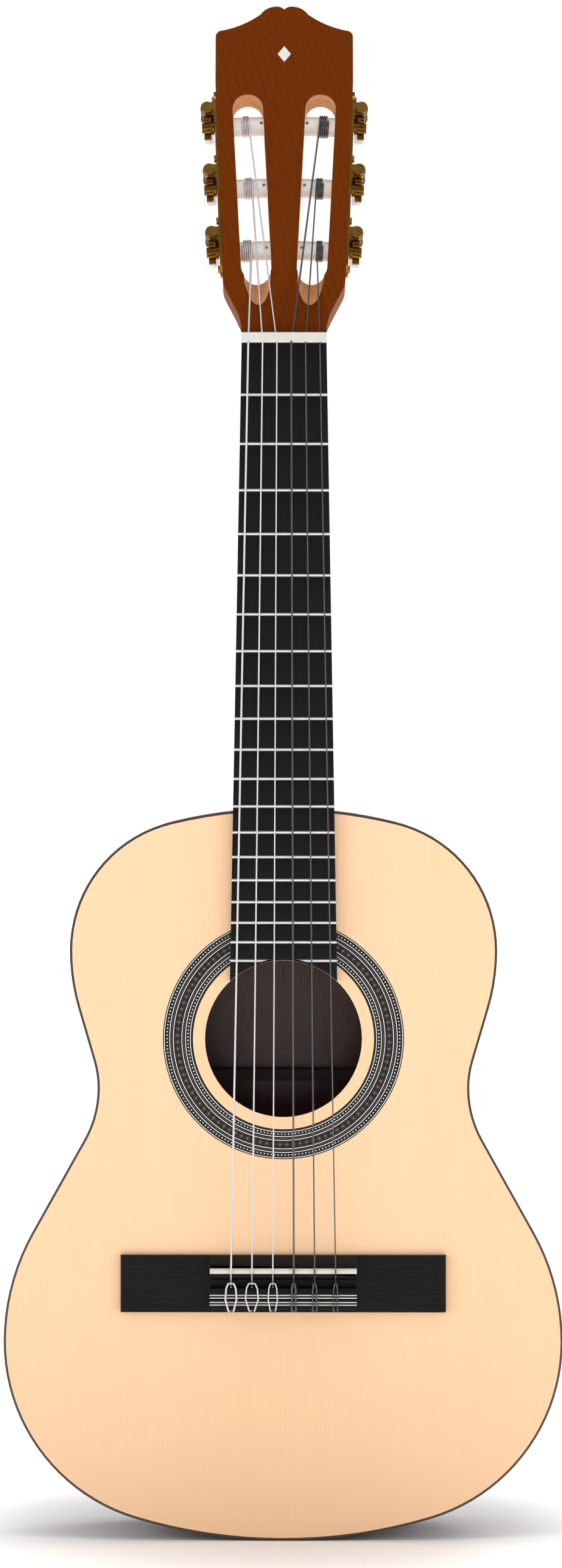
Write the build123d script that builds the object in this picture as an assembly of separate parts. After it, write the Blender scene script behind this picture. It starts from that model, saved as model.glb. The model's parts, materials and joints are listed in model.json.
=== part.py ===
from build123d import *
import os
from math import atan, atan2, cos, degrees, pi, radians, sin, tan

# Quarter-size classical guitar, in millimetres.  It stands upright: +Z runs from the tail to the
# head, the soundboard faces -Y and the bass strings are on the -X side.  The origin is the middle
# of the tail, on the body's centre line and halfway through its depth.

# Scale, frets and fingerboard
SCALE = 480.0            # open string, from the nut to the saddle
FRETS = 19
BODY_FRET = 12           # the fret at the body's upper edge
FRET_PAST_BODY = 1.1     # that fret lies this far above the edge
NUT_WIDTH = 44.0
BODY_FRET_WIDTH = 52.4   # fingerboard width at the body fret
BOARD_T = 4.5
BOARD_TO_HOLE = 0.2      # the board's hollow end stands back from the soundhole's edge
FRET_TO_HOLE = 1.1       # and the last fret, parted by it, this much
FRET_HEIGHT, FRET_WIDTH = 1.0, 2.0
TANG_T, TANG_DEPTH = 0.6, 2.0
NUT_T = 5.4

# Body outline: stations along the centre line, and widths
TAIL_TO_LOWER = 103.0
LOWER_TO_WAIST = 131.5
WAIST_TO_UPPER = 71.5
UPPER_TO_NECK = 73.6
WAIST_WIDTH = 192.8
LOWER_FLARE = 97.2       # the lower bout is this much wider than the waist
UPPER_FLARE = 28.8       # and the upper bout this much
FLANK_TURN = 0.72        # share of the greatest turn that a flank's two arcs take
FLANK_SPLIT = 0.68       # share of the flank's radius that the bout's arc gets
BOUT_ROUND = 0.93        # radius of a bout's corner, as a share of its own height

# Body depth and plates
DEPTH_TAIL, DEPTH_NECK = 80.0, 73.0
TOP_T, BACK_T, RIB_T = 2.4, 2.5, 2.0
BINDING_W, BINDING_H = 1.2, 4.5
REBATE_OUT = 5.0         # the rebate's cutter reaches this far outside the ribs
LINING_W, LINING_H = 4.5, 9.0
BLOCK_WIDTH, HEEL_BLOCK_L, TAIL_BLOCK_L = 56.0, 22.0, 12.0
GLUE = 0.05              # room for glue between curved faces
HOLE_R = 40.7
ROSETTE_IN, ROSETTE_OUT, ROSETTE_T = 47.0, 62.5, 1.0
BAR_W, BAR_H = 6.0, 14.0
BAR_TO_ROSETTE = 8.0     # from the rosette's edge to the middle of a harmonic bar
FAN_COUNT, FAN_W, FAN_H, FAN_LENGTH = 5, 4.0, 5.0, 128.0
FAN_STEP = 7.0           # degrees between fan braces
FAN_CLOSE = 0.6          # share of their aim from the soundhole that their upper ends keep apart
BACK_BRACES = (75.0, 160.0, 237.4)
BACK_BRACE_H = 11.0

# Bridge and saddle, along Z from the saddle's middle and up from the soundboard
BRIDGE_WIDTH, BRIDGE_ABOVE, BRIDGE_BELOW = 168.5, 7.5, 22.0
WING_H, RIDGE_H, VALLEY_H, TIE_H = 3.2, 9.0, 4.0, 9.5
RIDGE_SHARE, VALLEY_RUN = 1.3, 1.0   # half the ridge, per saddle thickness; its slope's run
TIE_WIDTH, TIE_NEAR, TIE_FAR = 76.0, 9.0, 20.0
TIE_HOLE_H, TIE_HOLE_R = 6.2, 0.75
SADDLE_T, SADDLE_LENGTH, SADDLE_SEAT_H, SADDLE_H = 2.8, 75.8, 5.0, 12.0
CREST_ROUND = 0.9        # round of the saddle's crest, as a share of half its thickness
INLAY_W, INLAY_T, INLAY_AT = 1.9, 0.6, (13.3, 16.9)

# Strings, first string first; their middles lie at +X for the trebles
STRING_R = (0.36, 0.41, 0.51, 0.38, 0.44, 0.54)
STRING_PITCH_NUT, STRING_PITCH_SADDLE = 7.4, 10.8
STRING_OVER_FRET = 0.6   # clearance over the first fret, at the nut
STRING_GAP = 0.1         # from a string to what it rests on
LOOP_HALF = (1.1, 1.1, 1.1, 2.4, 3.3, 2.9)
LOOP_FOOT, LOOP_NECK = 1.3, 0.85     # half a wide loop's lower end; its upper end's share
LOW_STRING_OUT = 2.0     # the outer strings' place on the lowest rollers, past the slot's middle
LOOP_OUT = 2.6           # how far a tie loop reaches in front of the tie block
STRING_BEND = 1.6        # radius of a string's bends, in its own radii

# Neck and heel: depths behind the fingerboard's plane
NECK_DEPTH_NUT, NECK_DEPTH_BODY = 15.5, 17.5
HEEL_HALF = (26.0, 22.5, 16.0, 10.5, 8.0)
HEEL_NOSE = (66.0, 46.0, 27.0, 17.0, 13.0)
HEEL_SHARE = (0.0, 0.2, 0.38, 0.62, 1.1)
HEEL_CAP_T = 2.0
NECK_ROOT = 9.2          # the neck's own shape starts this far inside the body's edge

# Head, in its own plane: U along it from the back of the nut, N out of its face
HEAD_TILT = 15.0
HEAD_DROP = 1.0          # the head's wood starts this far behind the fingerboard's plane
HEAD_T, VENEER_T = 16.0, 1.5
FLARE_LENGTH, FLARE_HALF = 42.0, 60.0   # the neck's round back dies out in the head's lower end
HEAD_LENGTH = 183.1
HEAD_NECK_U = 30.0       # where the shoulders end and the straight sides begin
HEAD_HALF_LOW, HEAD_HALF_HIGH = 31.9, 36.2
HEAD_SIDE_U = 140.0      # where the tapered sides end

# The head's crest, from its corner to the notch, as (X or X from the side, drop from the top)
CORNER_START, CORNER_MIDDLE, CORNER_END = (0.0, 17.6), (-1.0, 14.8), (-3.6, 13.7)
HOLLOW_MIDDLE, HORN_FOOT = (-14.0, 10.3), (12.5, 4.5)
HORN_SHOULDER, HORN_TOP, HORN_INNER, NOTCH = (8.7, 1.1), (4.5, 0.0), (1.8, 0.4), (0.0, 1.7)

# Slots, ramps and inlay of the head
SLOT_W, SLOT_LENGTH, SLOT_U, SLOT_X = 16.0, 104.8, 81.1, 16.8
SLOT_LEAN = 3.0
RAMP_R, RAMP_SLOPE, RAMP_U = 7.0, 22.0, 12.0
DIAMOND_W, DIAMOND_H, DIAMOND_U, DIAMOND_T = 7.0, 9.0, 156.0, 0.6

# Tuning machines.  On each side a frame lies on the head's edge: X' points outwards, Y' along
# the edge from the middle roller, Z' out of the head's face.
ROLLER_STEP, ROLLER_U = 35.0, 83.0
ROLLER_R, ROLLER_BORE_R, ROLLER_LENGTH, ROLLER_GAP = 5.0, 2.35, 29.2, 0.2
STRING_HOLE_R, STRING_HOLE_SHARE = 0.9, 0.8   # the share is how far along the roller it lies
TEETH, MODULE = 14, 0.8
WORM_PITCH_R, WORM_OUT, MESH_GAP = 2.6, 5.0, 0.1
TOOTH_HALF_ROOT, TOOTH_HALF_TIP = 0.60, 0.28
TOOTH_LAP, THREAD_LAP = 0.3, 0.2     # how far a tooth and the thread start inside their cores
GEAR_T, GEAR_TIP_R, GEAR_ROOT_R = 3.6, 6.2, 4.9
HUB_R, SHAFT_R, SHAFT_LENGTH = 3.6, 2.2, 20.0
THREAD_R, CORE_R, THREAD_HALF_ROOT, THREAD_HALF_TIP = 3.2, 1.9, 0.55, 0.3
THREAD_TURNS = 3.6
PLATE_T, PLATE_HALF, PLATE_DOWN, PLATE_UP = 1.2, 6.8, 49.0, 55.0
PLATE_SCREWS = (-44.6, -17.5, 17.5, 50.6)
LUG_T, LUG_HALF, LUG_OUT = 1.2, 3.6, 8.4
PIN_R, PIN_GAP = 1.5, 0.15
BOSS_R, BOSS_L, COLLAR_R, COLLAR_L = 3.15, 2.0, 2.5, 1.4
BUTTON_FROM, BUTTON_TO, BUTTON_HALF, BUTTON_NECK, BUTTON_T = 14.5, 28.0, 8.5, 4.4, 6.6
BUTTON_WING, BUTTON_CORNER = 6.5, (3.0, 3.5)   # the wing's start below the neck; corner cut
BUTTON_ROUND, BUTTON_EDGE = 4.0, 2.4
STEM_SHORT = 4.0         # the stem stops this far short of the button's end
SCREW_R, SCREW_HEAD_R, SCREW_HEAD_H, SCREW_L = 1.0, 2.0, 1.1, 8.0
GEAR_SCREW_R, SCREW_SLOT, SCREW_ROUND = 2.6, 0.6, 0.66

# Places that follow from the sizes above
BODY_TOP = TAIL_TO_LOWER + LOWER_TO_WAIST + WAIST_TO_UPPER + UPPER_TO_NECK
NUT_Z = BODY_TOP + FRET_PAST_BODY + SCALE * (1 - 2 ** (-BODY_FRET / 12))
NUT_BACK_Z = NUT_Z + NUT_T
SADDLE_Z = NUT_Z - SCALE
WAIST_Z = TAIL_TO_LOWER + LOWER_TO_WAIST
UPPER_Z = WAIST_Z + WAIST_TO_UPPER
LOWER_HALF = (WAIST_WIDTH + LOWER_FLARE) / 2
UPPER_HALF = (WAIST_WIDTH + UPPER_FLARE) / 2
FAR = 2 * (DEPTH_TAIL + LOWER_HALF + BODY_TOP)   # reaches past everything
FRET_TOP = BOARD_T + FRET_HEIGHT
WORM_PITCH = pi * MODULE
GEAR_PITCH_R = TEETH * MODULE / 2
WORM_UP = GEAR_PITCH_R + WORM_PITCH_R + MESH_GAP
LEAD = degrees(atan(WORM_PITCH / (2 * pi * WORM_PITCH_R)))
HEAD_SLOPE = degrees(atan((HEAD_HALF_HIGH - HEAD_HALF_LOW) / (HEAD_SIDE_U - HEAD_NECK_U)))
BACK_TILT = degrees(atan((DEPTH_TAIL - DEPTH_NECK) / BODY_TOP))

# Working planes: on each, X is the guitar's X; Z is up from the soundboard, out of the back, or
# out of the head's face.
FACE = Plane((0, -DEPTH_TAIL / 2, 0), x_dir=(1, 0, 0), z_dir=(0, -1, 0))
BACK = Plane((0, DEPTH_TAIL / 2, 0), x_dir=(1, 0, 0),
             z_dir=(0, cos(radians(BACK_TILT)), sin(radians(BACK_TILT))))
HEAD = Plane((0, HEAD_DROP - DEPTH_TAIL / 2, NUT_BACK_Z), x_dir=(1, 0, 0),
             z_dir=(0, -cos(radians(HEAD_TILT)), sin(radians(HEAD_TILT))))


def fret_z(number):
    """Height of a fret: each one shortens the string by a twelfth root of two."""
    return NUT_Z - SCALE * (1 - 2 ** (-number / 12))


HOLE_Z = fret_z(FRETS) - HOLE_R    # the last fret lies on the soundhole's upper edge


def board_half(z):
    """Half the fingerboard's width at a height."""
    share = (NUT_Z - z) / (NUT_Z - fret_z(BODY_FRET))
    return (NUT_WIDTH + (BODY_FRET_WIDTH - NUT_WIDTH) * share) / 2


def block(x, y, z):
    """Box between three (low, high) pairs."""
    size = [high - low for low, high in (x, y, z)]
    middle = [(high + low) / 2 for low, high in (x, y, z)]
    return Pos(*middle) * Box(*size)


def rod(radius, start, end):
    """Cylinder between two points."""
    way = Vector(end) - Vector(start)
    middle = (Vector(end) + Vector(start)) / 2
    return Location(Plane(middle, z_dir=way)) * Cylinder(radius, way.length)


def pin_x(radius, low, high):
    """Cylinder along X, for shafts and their bores."""
    return rod(radius, (low, 0, 0), (high, 0, 0))


def pin_z(radius, low, high, at=(0, 0)):
    """Cylinder along Z."""
    return rod(radius, (*at, low), (*at, high))


# ---------------------------------------------------------------- body outline


def flank(dx, dz):
    """Turn and two radii of an S-curve, arc-line-arc, that steps dx sideways over dz."""
    turn = FLANK_TURN * 2 * atan2(dx, dz)
    both = (dz * sin(turn) - dx * cos(turn)) / (1 - cos(turn))
    return degrees(turn), both * FLANK_SPLIT, both * (1 - FLANK_SPLIT)


def crown_radius(half, height, corner):
    """Radius of the end arc that meets a bout's corner arc and crosses the centre line square."""
    return ((half - corner) ** 2 + height**2 - corner**2) / (2 * (height - corner))


def arc(centre, radius, start, end):
    """Arc between two angles in degrees, either way round."""
    return CenterArc(centre, radius, start, end - start)


def bout(half, z, height, side, grow):
    """Corner and end arcs of one bout; side is -1 at the tail and 1 at the neck."""
    corner = BOUT_ROUND * height
    crown = crown_radius(half, height, corner)
    turn = side * degrees(atan2(crown - height, half - corner))
    return [
        arc((half - corner, z), corner + grow, 0, turn),
        arc((0, z + side * (height - crown)), crown + grow, turn, side * 90),
    ]


def flank_edges(half, z, waist_z, grow):
    """The two arcs and the line between a bout's widest point and the waist."""
    side = 1 if waist_z > z else -1
    turn, wide, narrow = flank(half - WAIST_WIDTH / 2, abs(waist_z - z))
    outer = arc((half - wide, z), wide + grow, 0, side * turn)
    inner = arc((WAIST_WIDTH / 2 + narrow, waist_z), narrow - grow, 180 + side * turn, 180)
    return [outer, Line(outer @ 1, inner @ 0), inner]


def outline(grow=0.0):
    """Face of the body's outline in its own plane, moved outwards by grow."""
    half = bout(LOWER_HALF, TAIL_TO_LOWER, TAIL_TO_LOWER, -1, grow)
    half += flank_edges(LOWER_HALF, TAIL_TO_LOWER, WAIST_Z, grow)
    half += flank_edges(UPPER_HALF, UPPER_Z, WAIST_Z, grow)
    half += bout(UPPER_HALF, UPPER_Z, UPPER_TO_NECK, 1, grow)
    edges = [edge for curve in half for edge in curve.edges()]
    edges += [edge.mirror(Plane.YZ) for edge in edges]
    return make_face(edges)


def prism(face, low, high):
    """Body-outline face made a solid between two heights over the soundboard."""
    return FACE.location * Pos(0, 0, low) * extrude(face, high - low)


def inside(grow):
    """Everything within the outline, right through the body."""
    return prism(outline(grow), -FAR, FAR)


def band(outer, inner, low, high):
    """Solid ring that follows the outline between two offsets."""
    return prism(outline(outer) - outline(inner), low, high)


def back_slab(low, high):
    """Slab between two heights over the back's outer face."""
    return BACK.location * block((-FAR, FAR), (-FAR, FAR), (low, high))


def on_face(shape):
    """Shape drawn with Z up from the soundboard, put in its place."""
    return FACE.location * shape


# ---------------------------------------------------------------- body


def soundboard():
    """Spruce top, with the soundhole and the rosette's recess."""
    plate = prism(outline(-BINDING_W - GLUE), -TOP_T, 0)
    hole = Pos(0, HOLE_Z) * Circle(HOLE_R)
    recess = Pos(0, HOLE_Z) * (Circle(ROSETTE_OUT + GLUE) - Circle(ROSETTE_IN - GLUE))
    return plate - prism(hole, -FAR, FAR) - prism(recess, -ROSETTE_T, 1)


def rosette():
    """Inlaid ring round the soundhole."""
    return prism(Pos(0, HOLE_Z) * (Circle(ROSETTE_OUT) - Circle(ROSETTE_IN)), -ROSETTE_T, 0)


def ribs():
    """Both sides as one bent wall, rebated for the bindings."""
    wall = band(0, -RIB_T, -FAR / 2, -TOP_T) - back_slab(-BACK_T, FAR)
    rebate = outline(REBATE_OUT) - outline(-BINDING_W - GLUE)
    wall -= prism(rebate, -BINDING_H, 1)
    return wall - (prism(rebate, -FAR / 2, 0) & back_slab(-BINDING_H, FAR / 4))


def half_of(shape, side):
    """The part of a shape on one side of the centre line: -1 bass, 1 treble."""
    return shape & block(sorted((0, side * FAR)), (-FAR, FAR), (-FAR, FAR))


def end_block(low, high):
    """Solid block between top and back, inside the ribs, over a stretch of Z."""
    shape = on_face(block((-BLOCK_WIDTH / 2, BLOCK_WIDTH / 2), (low, high), (-FAR / 4, -TOP_T)))
    return (shape & inside(-RIB_T - GLUE)) - back_slab(-BACK_T, FAR)


def block_room():
    """The room that the two end blocks take out of the linings."""
    wide = (-BLOCK_WIDTH / 2, BLOCK_WIDTH / 2)
    tail = block(wide, (-FAR, TAIL_BLOCK_L), (-FAR, FAR))
    heel = block(wide, (BODY_TOP - HEEL_BLOCK_L, FAR), (-FAR, FAR))
    return [on_face(tail), on_face(heel)]


def top_linings():
    """Strips that join the ribs to the soundboard."""
    strip = band(-RIB_T - GLUE, -RIB_T - GLUE - LINING_W, -TOP_T - LINING_H, -TOP_T)
    return strip - block_room()


def back_linings():
    """Strips that join the ribs to the back."""
    strip = band(-RIB_T - GLUE, -RIB_T - GLUE - LINING_W, -FAR / 2, -TOP_T)
    return (strip & back_slab(-BACK_T - LINING_H, -BACK_T)) - block_room()


def brace_room():
    """The space that braces may fill: within the linings."""
    return inside(-RIB_T - LINING_W - 3 * GLUE)


def harmonic_bars():
    """Two bars across the soundboard, above and below the rosette."""
    reach = ROSETTE_OUT + BAR_TO_ROSETTE
    bars = [
        on_face(block((-FAR, FAR), (z - BAR_W / 2, z + BAR_W / 2), (-TOP_T - BAR_H, -TOP_T)))
        for z in (HOLE_Z - reach, HOLE_Z + reach)
    ]
    room = brace_room()
    return Compound(children=[bar & room for bar in bars])


def fan_braces():
    """Braces that fan out under the bridge."""
    top = HOLE_Z - ROSETTE_OUT - BAR_TO_ROSETTE - 2 * BAR_W
    fans = []
    for number in range(FAN_COUNT):
        turn = FAN_STEP * (number - (FAN_COUNT - 1) / 2)
        strip = block((-FAN_W / 2, FAN_W / 2), (-FAN_LENGTH, 0), (-TOP_T - FAN_H, -TOP_T))
        spread = top * tan(radians(turn)) * FAN_CLOSE
        fans.append(on_face(Pos(spread, top) * Rot(0, 0, turn) * strip))
    return Compound(children=fans)


def back_braces():
    """Braces across the back."""
    room = brace_room() & back_slab(-BACK_T - BACK_BRACE_H, -BACK_T)
    wide = BAR_W / 2
    bars = [on_face(block((-FAR, FAR), (z - wide, z + wide), (-FAR, FAR))) for z in BACK_BRACES]
    return Compound(children=[bar & room for bar in bars])


# ---------------------------------------------------------------- neck


def neck_section(z, depth):
    """Round-backed section of the neck shaft."""
    half = board_half(z)
    curve = EllipticalCenterArc((0, -DEPTH_TAIL / 2), half, depth, arc_size=180)
    return Plane((0, 0, z)) * make_face([curve, Line(curve @ 1, curve @ 0)])


def shaft():
    """Neck shaft, from inside the body's edge to the back of the nut."""
    return loft([neck_section(BODY_TOP - NECK_ROOT, NECK_DEPTH_BODY),
                 neck_section(NUT_BACK_Z, NECK_DEPTH_NUT)], ruled=True)


def heel_section(half, nose, share):
    """Section of the heel parallel to the soundboard, with its nose up the neck."""
    curve = EllipticalCenterArc((0, BODY_TOP - NECK_ROOT), half, nose, arc_size=180)
    face = make_face([curve, Line(curve @ 1, curve @ 0)])
    return on_face(Pos(0, 0, -share * DEPTH_NECK) * face)


def heel():
    """Heel, from the fingerboard's plane past the back's plane."""
    sizes = zip(HEEL_HALF, HEEL_NOSE, HEEL_SHARE)
    return loft([heel_section(*size) for size in sizes])


def scarf():
    """Everything on the head's side of the slanted glue joint."""
    return HEAD.location * block((-FAR, FAR), (-FAR, FAR), (-HEAD_T, FAR))


def neck():
    """Shaft and heel, cut to the ribs, to the heel cap and at the scarf joint."""
    whole = shaft() + heel()
    return whole - inside(2 * GLUE) - back_slab(-HEEL_CAP_T, FAR) - scarf()


def heel_cap():
    """Thin plate that ends the heel, level with the back."""
    return (heel() & back_slab(-HEEL_CAP_T, 0)) - inside(2 * GLUE)


def fingerboard_blank():
    """The board before its fret slots are cut."""
    low = HOLE_Z
    face = make_face(Polyline(
        (-board_half(low), low), (board_half(low), low),
        (board_half(NUT_Z), NUT_Z), (-board_half(NUT_Z), NUT_Z), close=True))
    hollow = Pos(0, HOLE_Z) * Circle(HOLE_R + BOARD_TO_HOLE)
    cut = block((-FAR, FAR), (-FAR, HOLE_Z + HOLE_R / 2), (-FAR, FAR))
    return extrude(face, BOARD_T) - extrude(hollow, BOARD_T) - cut


def fret(number):
    """One fret, drawn on the fingerboard: a round crown on a thin tang."""
    z = fret_z(number)
    half = board_half(z)
    radius = (FRET_WIDTH**2 / 4 + FRET_HEIGHT**2) / (2 * FRET_HEIGHT)
    crown = rod(radius, (-half, z, FRET_TOP - radius), (half, z, FRET_TOP - radius))
    crown &= block((-FAR, FAR), (-FAR, FAR), (BOARD_T, FAR))
    tang = block((-half, half), (z - TANG_T / 2, z + TANG_T / 2), (BOARD_T - TANG_DEPTH, BOARD_T))
    return crown + tang


def fret_slot(number):
    """The saw cut that holds a fret's tang."""
    z = fret_z(number)
    return block((-FAR, FAR), (z - TANG_T / 2, z + TANG_T / 2), (BOARD_T - TANG_DEPTH, FAR))


def fingerboard():
    """Ebony board with its fret slots."""
    return on_face(fingerboard_blank() - [fret_slot(n) for n in range(1, FRETS + 1)])


def frets():
    """All frets; the last is parted by the board's hollow end."""
    hollow = Pos(0, HOLE_Z, BOARD_T) * Cylinder(HOLE_R + FRET_TO_HOLE, 4 * BOARD_T)
    return on_face(Compound(children=[fret(n) - hollow for n in range(1, FRETS + 1)]))


# ---------------------------------------------------------------- strings


def string_x(number, pitch):
    """String's place across the neck; the first string is the treble one."""
    return (3.5 - number) * pitch


def side_frame():
    """Frame of the treble machines, on the head's edge at the middle roller."""
    half = HEAD_HALF_LOW + tan(radians(HEAD_SLOPE)) * (ROLLER_U - HEAD_NECK_U)
    return HEAD.location * Pos(half, ROLLER_U, -HEAD_T / 2) * Rot(0, 0, -HEAD_SLOPE)


def slot_axis_x(u):
    """Middle of the treble slot at a place along the head."""
    return SLOT_X + (u - SLOT_U) * tan(radians(SLOT_LEAN))


def roller_row(number):
    """Row of a string's roller: 0 nearest the nut, 2 nearest the head's end."""
    return number - 1 if number <= 3 else 6 - number


def string_end(number):
    """Where a string meets the front of its roller."""
    row = roller_row(number)
    side = 1 if number <= 3 else -1
    u = ROLLER_U + (row - 1) * ROLLER_STEP
    x = side * (slot_axis_x(u) + (LOW_STRING_OUT if row == 0 else 0.0))
    n = -HEAD_T / 2 + ROLLER_R + STRING_R[number - 1] + 3 * STRING_GAP
    return (HEAD.location * Pos(x, u, n)).position


def string_nut(number):
    """Where a string turns at the front of the nut."""
    radius = STRING_R[number - 1]
    height = FRET_TOP + STRING_OVER_FRET + radius
    place = Pos(string_x(number, STRING_PITCH_NUT), NUT_Z - STRING_GAP, height)
    return (FACE.location * place).position


def tie_points(number):
    """The string's way from the saddle through the tie block and round it, over the soundboard."""
    radius, half = STRING_R[number - 1], LOOP_HALF[number - 1]
    x = string_x(number, STRING_PITCH_SADDLE)
    near, far = SADDLE_Z - TIE_NEAR, SADDLE_Z - TIE_FAR
    over = TIE_H + radius + STRING_GAP
    off = radius + 2 * STRING_GAP
    crest = SADDLE_H + radius + STRING_GAP
    foot = min(half, LOOP_FOOT)
    loop = [(foot, far - off), (LOOP_NECK * half, near), (half / 2, near + LOOP_OUT)]
    if half > foot:
        loop.insert(1, (half, (near + far) / 2))
    through = [(x, SADDLE_Z - SADDLE_T / 4, crest), (x, near + off, TIE_HOLE_H)]
    through.append((x, far - off, TIE_HOLE_H))
    up = [(x - aside, z, over) for aside, z in loop]
    down = [(x + aside, z, over) for aside, z in reversed(loop)]
    return through + up + down + [(x + foot, far - off, TIE_HOLE_H)]


def string(number):
    """One string, from its roller over the nut and the saddle to its tie."""
    points = [string_end(number), string_nut(number)]
    points += [(FACE.location * Pos(*point)).position for point in tie_points(number)]
    radius = STRING_R[number - 1]
    path = FilletPolyline(*points, radius=STRING_BEND * radius)
    return sweep(Plane(path @ 0, z_dir=path % 0) * Circle(radius), path=path)


# ---------------------------------------------------------------- nut, bridge and saddle


def nut():
    """Bone nut with a groove under each string."""
    half = board_half(NUT_Z)
    height = FRET_TOP + STRING_OVER_FRET + 2 * min(STRING_R)
    body = on_face(block((-half, half), (NUT_Z, NUT_BACK_Z), (0, height)))
    top_edges = body.edges().filter_by(Axis.X).group_by(Axis.Y)[0]
    body = fillet(top_edges, NUT_T / 8)
    for number in range(1, 7):
        start = string_nut(number)
        way = (string_end(number) - start).normalized() * NUT_T
        body -= rod(STRING_R[number - 1] + STRING_GAP / 2, start - way, start + way * 4)
    return body


def bridge_profile():
    """Section of the bridge's middle, as (Z from the saddle, height)."""
    ridge = SADDLE_T * RIDGE_SHARE
    return [
        (BRIDGE_ABOVE, 0), (BRIDGE_ABOVE, WING_H), (ridge, RIDGE_H), (-ridge, RIDGE_H),
        (-ridge - VALLEY_RUN, VALLEY_H), (-TIE_NEAR, VALLEY_H), (-TIE_NEAR, TIE_H),
        (-TIE_FAR, TIE_H), (-TIE_FAR, WING_H), (-BRIDGE_BELOW, WING_H), (-BRIDGE_BELOW, 0),
    ]


def bridge():
    """Bridge with its wings, saddle slot, tie block, string holes and inlay grooves."""
    low, high = SADDLE_Z - BRIDGE_BELOW, SADDLE_Z + BRIDGE_ABOVE
    half = BRIDGE_WIDTH / 2
    wings = block((-half, half), (low, high), (0, WING_H))
    wings = fillet(wings.edges().filter_by(Axis.Y).group_by(Axis.Z)[-1], WING_H / 3)
    face = make_face(Polyline([(z, h) for z, h in bridge_profile()], close=True))
    middle = Pos(-TIE_WIDTH / 2, SADDLE_Z) * Plane.YZ.location * extrude(face, TIE_WIDTH)
    body = wings + middle
    seat = SADDLE_LENGTH / 2
    body -= block((-seat, seat), (SADDLE_Z - SADDLE_T / 2, SADDLE_Z + SADDLE_T / 2),
                  (SADDLE_SEAT_H, FAR))
    body -= [string_hole(number) for number in range(1, 7)]
    return on_face(body - [inlay_strip(at) for at in INLAY_AT])


def string_hole(number):
    """Hole for a string through the tie block."""
    x = string_x(number, STRING_PITCH_SADDLE)
    return rod(TIE_HOLE_R, (x, SADDLE_Z - TIE_NEAR + 1, TIE_HOLE_H),
               (x, SADDLE_Z - TIE_FAR - 1, TIE_HOLE_H))


def inlay_strip(at):
    """Strip let into the tie block's top."""
    z = SADDLE_Z - at
    half = TIE_WIDTH / 2
    return block((-half, half), (z - INLAY_W / 2, z + INLAY_W / 2), (TIE_H - INLAY_T, TIE_H))


def tie_inlay():
    """The two strips in the tie block."""
    return on_face(Compound(children=[inlay_strip(at) for at in INLAY_AT]))


def saddle():
    """Bone saddle with a round crest."""
    half, thick = SADDLE_LENGTH / 2, SADDLE_T / 2
    body = block((-half, half), (SADDLE_Z - thick, SADDLE_Z + thick), (SADDLE_SEAT_H, SADDLE_H))
    crest = body.edges().filter_by(Axis.X).group_by(Axis.Z)[-1]
    return on_face(fillet(crest, thick * CREST_ROUND))


# ---------------------------------------------------------------- head


def head_half():
    """Right half of the head's outline, from the nut to the crest's notch."""
    low, high, start = HEAD_HALF_LOW, HEAD_HALF_HIGH, board_half(NUT_Z)

    def at(point, side=0.0):
        """Place of a crest point."""
        return side + point[0], HEAD_LENGTH - point[1]

    turn, wide, narrow = flank(low - start, HEAD_NECK_U)
    inner = arc((start + wide, 0), wide, 180, 180 - turn)
    outer = arc((low - narrow, HEAD_NECK_U), narrow, -turn, 0)
    return [
        Line((0, 0), (start, 0)),
        inner,
        Line(inner @ 1, outer @ 0),
        outer,
        Line((low, HEAD_NECK_U), (high, HEAD_SIDE_U)),
        Line((high, HEAD_SIDE_U), at(CORNER_START, high)),
        ThreePointArc(at(CORNER_START, high), at(CORNER_MIDDLE, high), at(CORNER_END, high)),
        ThreePointArc(at(CORNER_END, high), at(HOLLOW_MIDDLE, high), at(HORN_FOOT)),
        ThreePointArc(at(HORN_FOOT), at(HORN_SHOULDER), at(HORN_TOP)),
        ThreePointArc(at(HORN_TOP), at(HORN_INNER), at(NOTCH)),
    ]


def head_face():
    """Whole outline of the head."""
    edges = [edge for curve in head_half() for edge in curve.edges()]
    return make_face(edges + [edge.mirror(Plane.YZ) for edge in edges])


def on_head(shape):
    """Shape drawn on the head's plane, put in its place."""
    return HEAD.location * shape


def both_sides(shape):
    """A treble-side shape and its mirror image on the bass side."""
    return [shape, mirror(shape, about=Plane.YZ)]


def head_slot():
    """Slot for the treble rollers, right through the head."""
    face = Rot(0, 0, 90 - SLOT_LEAN) * SlotOverall(SLOT_LENGTH, SLOT_W)
    return on_head(Pos(SLOT_X, SLOT_U, -2 * HEAD_T) * extrude(face, 4 * HEAD_T))


def ramp():
    """Round-bottomed ramp that lets the strings down into a slot."""
    slope = radians(RAMP_SLOPE)
    start = (slot_axis_x(RAMP_U), RAMP_U + RAMP_R * sin(slope), VENEER_T + RAMP_R * cos(slope))
    x = slot_axis_x(SLOT_U - SLOT_LENGTH / 2 + SLOT_W / 2)
    reach = 2 * SLOT_W
    end = (x, start[1] + reach * cos(slope), start[2] - reach * sin(slope))
    return on_head(rod(RAMP_R, start, end) + Pos(*start) * Sphere(RAMP_R))


def head_cuts():
    """Slots and ramps, which pass through the veneer and the wood alike."""
    return both_sides(head_slot()) + both_sides(ramp())


def roller_holes():
    """Bores for the treble rollers and pilot holes for the plate's screws."""
    frame = side_frame()
    depth = ROLLER_LENGTH + 2 * ROLLER_GAP
    cuts = [frame * Pos(0, row * ROLLER_STEP) * pin_x(ROLLER_R + ROLLER_GAP, -depth, 1)
            for row in (-1, 0, 1)]
    return cuts + [frame * Pos(0, at) * pin_x(SCREW_R + GLUE, -SCREW_L - GLUE, 1)
                   for at in PLATE_SCREWS]


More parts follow.
